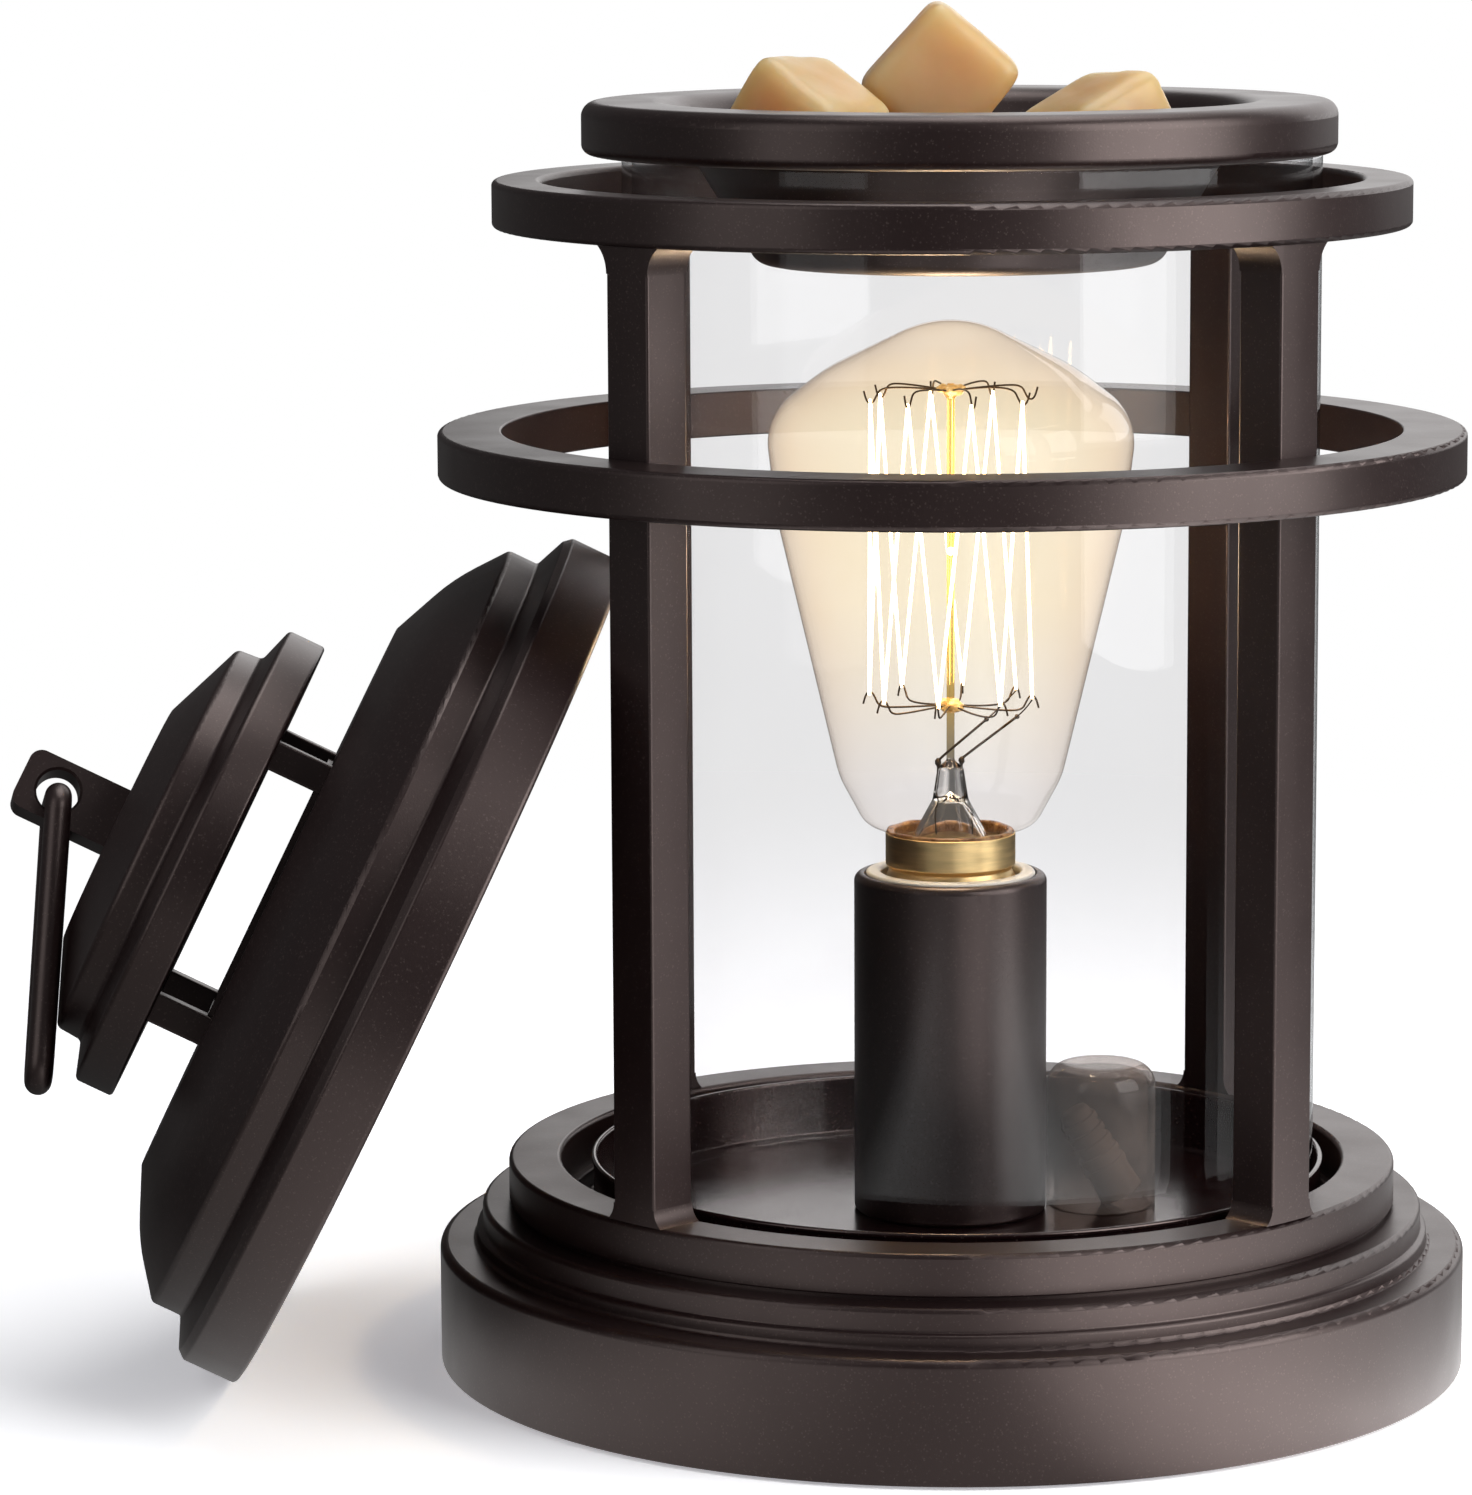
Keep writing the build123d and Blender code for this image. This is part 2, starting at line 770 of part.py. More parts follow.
def bulb_stem():
    """Hollow flare in the neck, and the glass rod that carries the cage of hooks."""
    return turned([
        (stem_r + 1.5, neck_low + 0.2, 0.2),
        (stem_r + 0.3, neck_low + 2.5, 2.0),
        (3.6, cap_top + pinch_low_up, 3.0),
        (2.6, cap_top + pinch_up, 1.2),
        (rod_r, cap_top + rod_low_up, 0.8),
        (rod_r, hub_low - 1.4, 0.4),
        (rod_r + 1.0, hub_low, 0.5),
        (rod_r, hub_low + 1.4, 0.4),
        (rod_r, rod_top - 2.4, 0.4),
        (rod_r + 1.2, rod_top - 0.8, 0.8),
        (0.6, rod_top + 0.6, 0),
        (0, rod_top + 0.6, 0),
        (0, cap_top + pinch_low_up + 1.6, 0),
        (2.4, cap_top + pinch_low_up - 0.4, 0.6),
        (stem_r - 0.6, neck_low + 2.0, 2.0),
        (stem_r + 0.5, neck_low + 0.2, 0.2),
    ])


def cage_place(i, z):
    """Point i of the filament's zigzag, counted round the cage in half steps."""
    turn = radians(i * 180 / cage_hooks + cage_spin)
    return (cage_r * cos(turn), cage_r * sin(turn), z)


def filament_hooks():
    """Wires from the rod's two glass beads out to the bends of the filament."""
    stem = bulb_stem()
    wires = []
    for i in range(2 * cage_hooks):
        top = i % 2 == 0
        hub_z = rod_top - 0.8 if top else hub_low
        tip_z = hook_top if top else hook_low
        turn = radians(i * 180 / cage_hooks + cage_spin)
        out = cage_r - filament_r - wire_gap
        a = Vector(rod_r * cos(turn), rod_r * sin(turn), hub_z)
        b = Vector(out * cos(turn), out * sin(turn), tip_z)
        wires.append(stick(a, b, hook_wire_r) - stem)
    return joined(wires)


def filament():
    """One fine wire that zigzags up and down round the cage."""
    spots = [cage_place(i, hook_top if i % 2 == 0 else hook_low) for i in range(1, 2 * cage_hooks)]
    path = Polyline(*spots)
    section = Plane(origin=path @ 0, z_dir=path % 0) * Circle(filament_r)
    return sweep(section, path, transition=Transition.ROUND)


def bulb_leads():
    """Two lead wires from the stem's pinch to the ends of the filament."""
    stem = bulb_stem()
    wires = []
    for i, side in ((1, 1), (2 * cage_hooks - 1, -1)):
        end = Vector(*cage_place(i, hook_low - filament_r - lead_wire_r - wire_gap))
        start = Vector(1.3, 1.2 * side, cap_top + pinch_up - 0.5)
        wires.append(stick(start, end, lead_wire_r) - stem)
    return joined(wires)


# Chimney, dish and wax

def glass_chimney():
    r_in = chimney_r - chimney_wall
    return turned([
        (r_in, pan_inside, 0.7),
        (chimney_r, pan_inside, 0.7),
        (chimney_r, chimney_top, 0.7),
        (r_in, chimney_top, 0.7),
    ], chimney_shift)


def wax_dish():
    """Shallow bowl with a thick flat rim that lies on the chimney."""
    bowl_floor_r = dish_foot_r - 1.2
    return turned([
        (0, dish_floor_low, 0),
        (dish_foot_r, dish_floor_low, 4.0),
        (dish_neck_r, chimney_top, 0.8),
        (dish_r, chimney_top, 2.0),
        (dish_r, dish_top, 3.0),
        (bowl_mouth_r, dish_top, 6.0),
        (bowl_floor_r, bowl_floor, 4.0),
        (0, bowl_floor, 0),
    ], dish_shift)


def wax_cube(place, side=cube, top_side=cube_top):
    """A cast cube of wax, a little narrower at the top, with rounded edges."""
    foot = Pos(0, 0, -side / 2) * Rectangle(side, side)
    head = Pos(0, 0, side / 2) * Rectangle(top_side, top_side)
    body = loft([foot, head])
    return place * fillet(body.edges(), cube_edge)


left_cube_place = Pos(left_cube_x, left_cube_y, dish_top + left_cube_up) * Rot(19.9, 24.1, 45.9)
right_cube_place = Pos(right_cube_x, right_cube_y, dish_top + right_cube_up) * Rot(11.4, -21.7, 38.9)
top_cube_place = Pos(top_cube_x, top_cube_y, dish_top + top_cube_up) * Rot(0, 40, 0)


def wax_cubes_low():
    """Softer cubes at the back of the bowl, under the top one."""
    z = bowl_floor + low_cube / 2
    places = [Pos(x, low_cube_y, z) for x in (low_cube_left, low_cube_right)]
    return joined(wax_cube(place, low_cube, low_cube_top) for place in places)


# Lid, built standing on its brim and then laid against the chimney

lean = radians(lid_tilt)
lid_x = (chimney_shift - chimney_r - lid_gap + lid_side_sag
         - (lid_r - lid_edge) * sin(lean) + lid_edge * cos(lean) - lid_edge)
lid_z = (lid_r - lid_edge) * cos(lean) - lid_edge * sin(lean) + lid_edge
lid_pose = Pos(lid_x, lid_y, lid_z) * Rot(0, lid_tilt - 90, 0)


def lid_shell():
    """Pressed dome with a stepped brim, hollow below."""
    w = lid_wall
    return turned([
        (lid_r, 0, lid_edge),
        (lid_r, lid_band_h, lid_edge),
        (lid_r - 1.4, lid_band_h + 1.6, 0.6),
        (lid_tier_r, lid_tier_low, 0.8),
        (lid_tier_r, lid_tier_high, 1.5),
        (lid_dome_r, lid_dome_z, lid_dome_round),
        (lid_flat_r, lid_flat_z, 1.0),
        (0, lid_flat_z, 0),
        (0, lid_flat_z - w, 0),
        (lid_flat_r - 0.6, lid_flat_z - w, 1.0),
        (lid_dome_r - 1.2, lid_dome_z - w, 0.9 * lid_dome_round),
        (lid_tier_r - w, lid_tier_high - 1.6, 1.0),
        (lid_tier_r - w, lid_tier_low - 1.4, 0.8),
        (lid_r - w, lid_band_h - 0.6, 1.0),
        (lid_r - w, 0, lid_edge),
    ])


def lid_pillars():
    """Four square pillars under the lid's cap, with a thin square frame between their feet."""
    frame_out = pillar_place + pillar_frame_w / 2
    frame_in = pillar_place - pillar_frame_w / 2
    flat = Rectangle(2 * frame_out, 2 * frame_out) - Rectangle(2 * frame_in, 2 * frame_in)
    cage = extrude(Pos(0, 0, lid_flat_z) * flat, pillar_frame_h)
    for x in (-pillar_place, pillar_place):
        for y in (-pillar_place, pillar_place):
            foot = fillet(Rectangle(pillar_w, pillar_w).vertices(), 0.5)
            cage += extrude(Pos(x, y, lid_flat_z) * foot, pillar_h)
    return Rot(0, 0, pillar_spin) * cage


def lid_cap():
    """Small stepped cap on the pillars, hollow below."""
    w = lid_wall
    z = pillar_top
    cap = turned([
        (cap_floor_r, z, 0.8),
        (cap_band_r, z, 0.8),
        (cap_band_r, z + cap_band_h, 1.2),
        (cap_step_r, z + cap_band_h + 2.4, 1.2),
        (cap_step_r - 0.4, z + cap_step_h, 1.6),
        (cap_flat_r, z + cap_flat_h, 2.0),
        (0, z + cap_flat_h, 0),
        (0, z + cap_flat_h - w, 0),
        (cap_flat_r - 0.6, z + cap_flat_h - w, 1.0),
        (cap_step_r - 0.4 - w, z + cap_step_h - 1.6, 1.0),
        (cap_step_r - w, z + cap_band_h + 0.6, 0.8),
        (cap_band_r - w, z + cap_band_h - 1.4, 1.0),
        (cap_band_r - w, z + w, 0.8),
        (cap_floor_r, z + w, 0.8),
    ])
    return cap - rod(stud_r, cap_flat_z - 2 * w, cap_flat_z + 1)


def finial_lug():
    """Flat bar with the ring's hole, held by a stud through the cap."""
    half = lug_w / 2
    corners = ((-half, 0), (half, 0), (half, lug_h), (-half, lug_h))
    side = make_face(FilletPolyline(*corners, radius=[0, 0, lug_corner, lug_corner], close=True))
    side -= Pos(0, hole_up) * Circle(lug_hole_r)
    bar = extrude(Plane.XZ.offset(-lug_t / 2) * side, lug_t)
    bar = chamfer(bar.edges().filter_by(GeomType.CIRCLE).filter_by(lambda e: e.is_closed), 0.5)
    return Pos(0, 0, cap_flat_z) * Rot(0, 0, lug_turn) * (bar + rod(stud_r, -stud_h, 0))


def lug_nut():
    low = cap_flat_z - lid_wall - lug_nut_h
    nut = extrude(Pos(0, 0, low) * RegularPolygon(lug_nut_flats / 2, 6, major_radius=False), lug_nut_h)
    return nut - rod(stud_r, low - 1, cap_flat_z)


def ring_handle():
    """Closed loop of round wire through the lug's hole; it hangs down and leans on the cap."""
    hole = lid_pose * Pos(0, 0, cap_flat_z + hole_up) * Rot(0, 0, lug_turn)
    middle = hole.position
    through = (hole * Pos(0, -1, 0)).position - middle
    down = Vector(0, 0, -1)
    straight = (down - through * down.dot(through)).normalized()
    hang = straight.rotate(Axis((0, 0, 0), through), -ring_lean)
    pivot = middle + hang * (lug_hole_r - wire_r - ring_seat_gap)
    lay = Plane(origin=pivot, x_dir=through, z_dir=through.cross(hang * -1))
    path = FilletPolyline(
        (0, 0), (ring_half, 0), (ring_foot_half, -ring_len), (-ring_foot_half, -ring_len), (-ring_half, 0),
        radius=[0, ring_corner, ring_foot_half - 0.1, ring_foot_half - 0.1, ring_corner], close=True)
    section = Plane(origin=pivot, z_dir=through) * Circle(wire_r)
    return sweep(section, lay * path)


for piece in (
    base_pad, bottom_cover, base_shell, cover_spacers, cover_screws, cage_screws, cord_bushing,
    lantern_collar, middle_ring, upper_ring, drip_pan, lampholder_sleeve, lampholder_liner, screw_shell,
    centre_contact, holder_cap, lamp_pipe, pipe_nuts, pipe_washer, terminal_block, lamp_leads,
    clear_cover, wire_connector, bulb_cap, bulb_insulator, bulb_contact, bulb_glass, bulb_stem,
    filament_hooks, filament, bulb_leads, glass_chimney, wax_dish, wax_cubes_low,
):
    write(piece.__name__, piece())

for place, angle in (("back_right", 45), ("back_left", 135), ("front_left", 225), ("front_right", 315)):
    write("post_" + place, post(angle))

write("wax_cube_left", wax_cube(left_cube_place))
write("wax_cube_right", wax_cube(right_cube_place))
write("wax_cube_top", wax_cube(top_cube_place))

for piece in (lid_shell, lid_pillars, lid_cap, finial_lug, lug_nut):
    write(piece.__name__, lid_pose * piece())
write("ring_handle", ring_handle())
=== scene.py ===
import json
import math

import bmesh
import bpy
from mathutils import Matrix, Vector, noise as field


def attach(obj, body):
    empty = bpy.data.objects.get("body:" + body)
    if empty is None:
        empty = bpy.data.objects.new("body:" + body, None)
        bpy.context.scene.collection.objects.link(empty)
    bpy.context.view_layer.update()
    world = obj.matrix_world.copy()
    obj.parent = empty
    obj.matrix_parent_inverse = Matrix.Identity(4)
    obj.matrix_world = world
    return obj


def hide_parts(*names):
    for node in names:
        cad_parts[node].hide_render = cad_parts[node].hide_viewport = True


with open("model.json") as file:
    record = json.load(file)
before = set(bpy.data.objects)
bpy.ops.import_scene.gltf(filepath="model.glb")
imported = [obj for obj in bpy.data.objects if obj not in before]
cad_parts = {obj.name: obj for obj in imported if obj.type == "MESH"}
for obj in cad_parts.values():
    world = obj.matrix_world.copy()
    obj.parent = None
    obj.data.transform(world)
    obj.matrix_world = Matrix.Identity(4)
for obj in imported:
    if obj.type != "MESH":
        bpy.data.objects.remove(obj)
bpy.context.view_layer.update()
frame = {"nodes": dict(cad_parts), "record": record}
NODES = frame["nodes"]
MM = 0.001

# Camera, in millimetres and degrees
TARGET = (-42.84, 0.0, 123.72)
DISTANCE = 1150.0
ELEVATION = 8.80
ROLL = -0.28
FOCAL_PX = 5758.6
IMAGE_HEIGHT_PX = 1495
SENSOR = 36.0

# Floor and backdrop: places in metres, levels as shares of white
STAGE_CENTRE = (-0.05, 0.0, 0.0)
FLOOR_FAR = (0.25, 0.75)         # distances over which the lit floor turns plain white
FLOOR_GAIN = 1.5                 # the floor's brightness to the camera
FLOOR_LIFT = (0.34, 0.34, 0.36)  # fill in its shadows
FAR_LIGHT = 0.10                 # light that the far floor gives to the object
MIRROR_HALF = 0.30               # half the width of the floor's strip in the object's gloss
MIRROR_ACROSS = [(-0.30, 0.1), (-0.17, 0.3), (-0.12, 1.2), (-0.03, 0.50), (0.025, 0.60),
                 (0.055, 2.4), (0.095, 3.8), (0.145, 2.2), (0.30, 1.6)]  # X and level
MIRROR_DEEP = (-0.12, 0.06)      # Y over which it fades towards the back
MIRROR_BACK = 0.30               # and its level there
WALL_LIGHT = 1.5                 # the backdrop in the object's gloss
WALL_DARK = 0.08                 # and its left end
WALL_SIDE = (-0.50, -0.12)       # X over which it brightens
WALL_RISE = (0.05, 0.35)         # heights over which the floor turns into the backdrop
SKY = (0.095, 0.096, 0.10)       # the sky's light on the object

# Clear walls: how steeply their mirror share grows, and how far
EDGE_POWER = 5.0
EDGE_GLOSS = 0.75

# Lamps: degrees from the camera's side towards +X, metres and watts
SIDE_BOXES = [("softbox_left", -50, (0.46, 0.84), 1.05), ("softbox_right", 57, (0.80, 0.84), 8.0)]
BOX_REACH = 0.80
BOX_HEIGHT = 0.42
BOX_AIM = (0, 0, 0.14)
TOP_BOX = ((0.25, 0.3, 1.9), (0, 0.05, 0), (1.4, 1.4), 17)
BULB_PLACE = (0, 0, 0.163)
BULB_WATTS = 0.15
BULB_COLOUR = (1.0, 0.84, 0.62)
BULB_SIZE = 0.014

# Bulb: heights in metres where the painted glow on its far side grows, and where its stem turns amber
PAINTED_GLOW_RISE = (0.112, 0.150)
PAINTED_GLOW_SHARE = 0.88
STEM_AMBER = (0.119, 0.132)

# Bulb's outline and cement: radius, height and rounding in millimetres
BULB_OUTLINE = [(11.95, 99.2, 0), (11.95, 107.0, 1.0), (17.0, 108.1, 5.5), (22.3, 118.0, 18.0),
                (34.6, 170.0, 60.0), (37.0, 190.0, 12.0), (24.5, 199.6, 40.0), (5.2, 208.95, 22.0),
                (0.0, 208.95, 0)]
CEMENT_OUTLINE = [(11.2, 105.0, 0), (11.2, 107.0, 0.6), (12.6, 107.1, 0.4), (12.9, 106.2, 0)]
CEMENT_TOP = 106.5
CEMENT_WAVE = 0.35

# Filament's supports, in millimetres and degrees
HOOKS = 16
CAGE_SPIN = 12.0                 # first hook's place round the cage
HUB_HIGH = 195.0
HUB_LOW = 132.1
BEND_HIGH = 193.4
BEND_LOW = 133.8
HOOK_ARM = [(0.9, 0.0, 0), (5.0, 0.5, 1), (11.0, 0.9, 1), (14.4, 0.7, 0)]  # radius, rise, share of sag
HOOK_LOOP = [(15.3, 0.5), (15.9, -0.5), (16.8, -0.5), (17.4, 0.6), (17.7, 1.9)]  # radius, rise
HOOK_RADIUS = 0.2
HUB_DROPS = [((0.4, -0.3, HUB_HIGH + 0.1), (2.3, 2.0, 1.15)), ((-1.5, 0.3, HUB_HIGH + 0.4), (1.2, 1.2, 0.9)),
             ((1.7, -0.8, HUB_HIGH + 0.5), (1.1, 1.2, 0.8)), ((0.2, -0.4, HUB_LOW - 0.1), (2.2, 2.0, 1.35)),
             ((-1.3, -0.6, HUB_LOW + 0.5), (1.3, 1.2, 0.9)), ((1.5, 0.2, HUB_LOW - 0.5), (1.2, 1.3, 0.9))]

# Leads inside the bulb, in millimetres
LEFT_TIP = (7.1, -1.6, 129.4)
RIGHT_TIP = (13.2, -1.4, 129.9)
LEAD_ENDS = [
    [(-2.5, -0.4, 116.6), (-2.5, -0.5, 119.6), (-2.4, -0.6, 121.0), (-1.6, -0.8, 121.9),
     (2.7, -1.2, 125.6), LEFT_TIP],
    [(2.1, 0.3, 116.8), (2.2, 0.2, 119.8), (2.3, 0.0, 121.3), (3.2, -0.2, 122.1),
     (8.2, -0.8, 126.0), RIGHT_TIP],
]
LEAD_TAILS = [
    [(-2.5, -0.4, 117.0), (-3.3, -1.4, 115.0), (-2.0, -2.0, 112.8), (-3.2, -1.0, 110.0), (-2.8, -0.6, 106.0)],
    [(2.1, 0.3, 117.0), (3.4, -0.9, 115.4), (2.0, -1.8, 113.2), (4.2, -1.2, 110.4), (4.4, -0.6, 106.0)],
    [(-2.6, -1.6, 113.6), (-0.8, -2.6, 114.2), (1.2, -2.6, 113.2), (2.8, -1.6, 113.9)],
    [LEFT_TIP, (10.2, 4.0, 131.0), (13.5, 9.3, 133.6)],
    [RIGHT_TIP, (15.0, -2.3, 131.6), (16.1, -3.4, 133.6)],
]
LEAD_DROPS = [(LEFT_TIP, (0.5, 0.5, 0.5)), (RIGHT_TIP, (0.5, 0.5, 0.5)),
              ((-2.5, -0.5, 120.6), (0.6, 0.6, 0.9)), ((2.2, 0.0, 120.9), (0.6, 0.6, 0.8))]
LEAD_RADIUS = 0.27
TAIL_RADIUS = 0.15

# Wax: metres, and how far its edges are worn
WAX_VOXEL = 0.0008
WAX_WEAR = 60
WAX_RIPPLE = 0.00022
WAX_RIPPLE_SCALE = 130


# Shader helpers

def new_material(name):
    """A material with nodes, its tree and its main shader."""
    mat = bpy.data.materials.new(name)
    mat.use_nodes = True
    return mat, mat.node_tree, mat.node_tree.nodes["Principled BSDF"]


def add(tree, kind, **settings):
    """A node with some of its sockets or properties set."""
    node = tree.nodes.new(kind)
    for key, value in settings.items():
        if key in node.inputs:
            node.inputs[key].default_value = value
        else:
            setattr(node, key, value)
    return node


def coords(tree):
    """Places in the object's own frame, in metres."""
    return add(tree, "ShaderNodeTexCoord").outputs["Object"]


def axis(tree, spot, name):
    """One of a place's three numbers."""
    node = add(tree, "ShaderNodeSeparateXYZ")
    tree.links.new(spot, node.inputs["Vector"])
    return node.outputs[name]


def fade(tree, value, ends, levels=(0.0, 1.0), shape="SMOOTHSTEP"):
    """A number that goes from one level to the other between two ends of a value."""
    node = add(tree, "ShaderNodeMapRange", interpolation_type=shape)
    for key, number in zip(("From Min", "From Max", "To Min", "To Max"), (*ends, *levels)):
        node.inputs[key].default_value = number
    tree.links.new(value, node.inputs["Value"])
    return node.outputs["Result"]


def noise(tree, scale, detail=3.0, rough=0.5, vector=None):
    """Cloudy noise from 0 to 1."""
    node = add(tree, "ShaderNodeTexNoise", Scale=scale, Detail=detail, Roughness=rough)
    tree.links.new(vector or coords(tree), node.inputs["Vector"])
    return node.outputs["Fac"]


def ramp(tree, value, stops):
    """Colours along a value: (place, colour) stops."""
    node = add(tree, "ShaderNodeValToRGB")
    elements = node.color_ramp.elements
    while len(elements) < len(stops):
        elements.new(0.5)
    for element, (place, colour) in zip(elements, stops):
        element.position = place
        element.color = (*colour, 1)
    tree.links.new(value, node.inputs["Fac"])
    return node.outputs["Color"]


def grey(tree, value, low, high, at=(0.3, 0.7)):
    """A number that goes from low to high along a value."""
    return ramp(tree, value, [(at[0], (low,) * 3), (at[1], (high,) * 3)])


def bump(tree, bsdf, height, strength, distance, under=None):
    """Raised grain, on top of another where one is given."""
    node = add(tree, "ShaderNodeBump", Strength=strength, Distance=distance)
    tree.links.new(height, node.inputs["Height"])
    if under:
        tree.links.new(under.outputs["Normal"], node.inputs["Normal"])
    tree.links.new(node.outputs["Normal"], bsdf.inputs["Normal"])
    return node


def mix(tree, factor, a, b, how="MIX"):
    """Two colours mixed. Each may be a socket or a plain colour."""
    node = add(tree, "ShaderNodeMix", data_type="RGBA", blend_type=how)
    for socket, value in ((node.inputs[0], factor), (node.inputs[6], a), (node.inputs[7], b)):
        if isinstance(value, bpy.types.NodeSocket):
            tree.links.new(value, socket)
        else:
            socket.default_value = (*value, 1) if isinstance(value, tuple) else value
    return node.outputs[2]


def blend(tree, factor, first, second):
    """A shader that turns into another as the factor goes from 0 to 1."""
    node = add(tree, "ShaderNodeMixShader")
    for socket, source in zip(node.inputs, (factor, first, second)):
        tree.links.new(source, socket)
    return node.outputs["Shader"]


def see_through(tree, colour):
    """Clear shader, with a plain colour or a socket's."""
    node = add(tree, "ShaderNodeBsdfTransparent")
    if isinstance(colour, tuple):
        node.inputs["Color"].default_value = (*colour, 1)
    else:
        tree.links.new(colour, node.inputs["Color"])
    return node.outputs["BSDF"]


def glowing(tree, colour, strength=1.0):
    """Light of a socket's colour."""
    node = add(tree, "ShaderNodeEmission", Strength=strength)
    tree.links.new(colour, node.inputs["Color"])
    return node.outputs["Emission"]


def diffuse(tree, colour):
    """Matt shader of a socket's colour."""
    node = add(tree, "ShaderNodeBsdfDiffuse")
    tree.links.new(colour, node.inputs["Color"])
    return node.outputs["BSDF"]


def finish_surface(tree, shader):
    """The shader goes to the material's surface."""
    tree.links.new(shader, tree.nodes["Material Output"].inputs["Surface"])


def shadow_clear(tree, shader, tint):
    """The shader for everything but shadow rays, which pass with a tint."""
    path = add(tree, "ShaderNodeLightPath")
    finish_surface(tree, blend(tree, path.outputs["Is Shadow Ray"], shader, see_through(tree, tint)))


# Materials

def bronze(name="bronze_metal", rough=0.34):
    """Satin dark brown enamel with fine metal grain."""
    mat, tree, bsdf = new_material(name)
    spot = coords(tree)
    cloud = noise(tree, 26, 4, 0.6, spot)
    tone = ramp(tree, cloud, [(0.3, (0.0066, 0.0018, 0.0024)), (0.7, (0.0092, 0.0028, 0.0034))])
    cells = add(tree, "ShaderNodeTexVoronoi", Scale=3600.0)
    tree.links.new(spot, cells.inputs["Vector"])
    split = add(tree, "ShaderNodeSeparateColor")
    tree.links.new(cells.outputs["Color"], split.inputs["Color"])
    fleck = grey(tree, split.outputs["Red"], 0, 1, (0.93, 1.0))
    tree.links.new(mix(tree, fleck, tone, (0.050, 0.036, 0.033)), bsdf.inputs["Base Color"])
    satin = grey(tree, noise(tree, 60, 3, 0.5, spot), rough, rough + 0.06)
    tree.links.new(satin, bsdf.inputs["Roughness"])
    bsdf.inputs["Metallic"].default_value = 0.0
    bsdf.inputs["Specular IOR Level"].default_value = 1.0
    bsdf.inputs["Specular Tint"].default_value = (1.0, 0.80, 0.755, 1)
    grain = bump(tree, bsdf, noise(tree, 2600, 2, 0.6, spot), 0.30, 0.00005)
    bump(tree, bsdf, noise(tree, 90, 2, 0.4, spot), 0.05, 0.0005, grain)
    return mat


def steel(name, colour, rough):
    """Drawn metal with fine upright streaks."""
    mat, tree, bsdf = new_material(name)
    spot = coords(tree)
    stretch = add(tree, "ShaderNodeMapping", Scale=(1, 1, 12))
    tree.links.new(spot, stretch.inputs["Vector"])
    streaks = noise(tree, 120, 3, 0.5, stretch.outputs["Vector"])
    dark = tuple(c * 0.8 for c in colour)
    tree.links.new(ramp(tree, streaks, [(0.3, dark), (0.7, colour)]), bsdf.inputs["Base Color"])
    tree.links.new(grey(tree, streaks, rough, rough + 0.12), bsdf.inputs["Roughness"])
    bsdf.inputs["Metallic"].default_value = 1.0
    bump(tree, bsdf, streaks, 0.12, 0.0001)
    return mat


def plastic(name, colour, rough, grain=0.2):
    """Moulded plastic, ceramic or rubber with slight clouding and grain."""
    mat, tree, bsdf = new_material(name)
    spot = coords(tree)
    cloud = noise(tree, 90, 3, 0.5, spot)
    dark = tuple(c * 0.85 for c in colour)
    tree.links.new(ramp(tree, cloud, [(0.3, dark), (0.7, colour)]), bsdf.inputs["Base Color"])
    tree.links.new(grey(tree, cloud, rough, min(1, rough + 0.1)), bsdf.inputs["Roughness"])
    bump(tree, bsdf, noise(tree, 900, 2, 0.5, spot), grain, 0.0001)
    return mat


def stem_glass():
    """Glass that bends light, clear at its flare and amber along the rod between the hooks."""
    mat, tree, bsdf = new_material("stem_glass")
    spot = coords(tree)
    bsdf.inputs["Transmission Weight"].default_value = 1.0
    bsdf.inputs["IOR"].default_value = 1.47
    tree.links.new(grey(tree, noise(tree, 18, 3, 0.5, spot), 0.0, 0.012), bsdf.inputs["Roughness"])
    bump(tree, bsdf, noise(tree, 22, 2, 0.4, spot), 0.02, 0.002)
    up = fade(tree, axis(tree, spot, "Z"), STEM_AMBER, shape="LINEAR")
    tone = ramp(tree, up, [(0.0, (0.97, 0.96, 0.95)), (1.0, (0.98, 0.72, 0.26))])
    tree.links.new(tone, bsdf.inputs["Base Color"])
    shadow_clear(tree, bsdf.outputs["BSDF"], (0.97, 0.97, 0.97))
    return mat


def amber_bead():
    """Glass bead, amber and slightly cloudy, lit by the wire next to it."""
    mat, tree, bsdf = new_material("amber_bead")
    cloud = noise(tree, 700, 3, 0.6)
    stops = [(0.35, (0.42, 0.22, 0.05)), (0.6, (0.85, 0.58, 0.22)), (0.75, (1.0, 0.88, 0.60))]
    tone = ramp(tree, cloud, stops)
    tree.links.new(tone, bsdf.inputs["Base Color"])
    # painted glow: the bead gives light of its own colour, standing in for the light of the wire next to it
    tree.links.new(tone, bsdf.inputs["Emission Color"])
    bsdf.inputs["Emission Strength"].default_value = 0.28
    bsdf.inputs["Transmission Weight"].default_value = 0.3
    tree.links.new(grey(tree, cloud, 0.12, 0.3), bsdf.inputs["Roughness"])
    bump(tree, bsdf, cloud, 0.4, 0.0004)
    return mat


def glue():
    """Brown cement, glossy and uneven."""
    mat, tree, bsdf = new_material("cap_cement")
    cloud = noise(tree, 420, 4, 0.6)
    stops = [(0.3, (0.06, 0.02, 0.006)), (0.55, (0.22, 0.10, 0.03)), (0.75, (0.50, 0.30, 0.12))]
    tree.links.new(ramp(tree, cloud, stops), bsdf.inputs["Base Color"])
    tree.links.new(grey(tree, cloud, 0.2, 0.4), bsdf.inputs["Roughness"])
    bump(tree, bsdf, cloud, 0.6, 0.0005)
    return mat


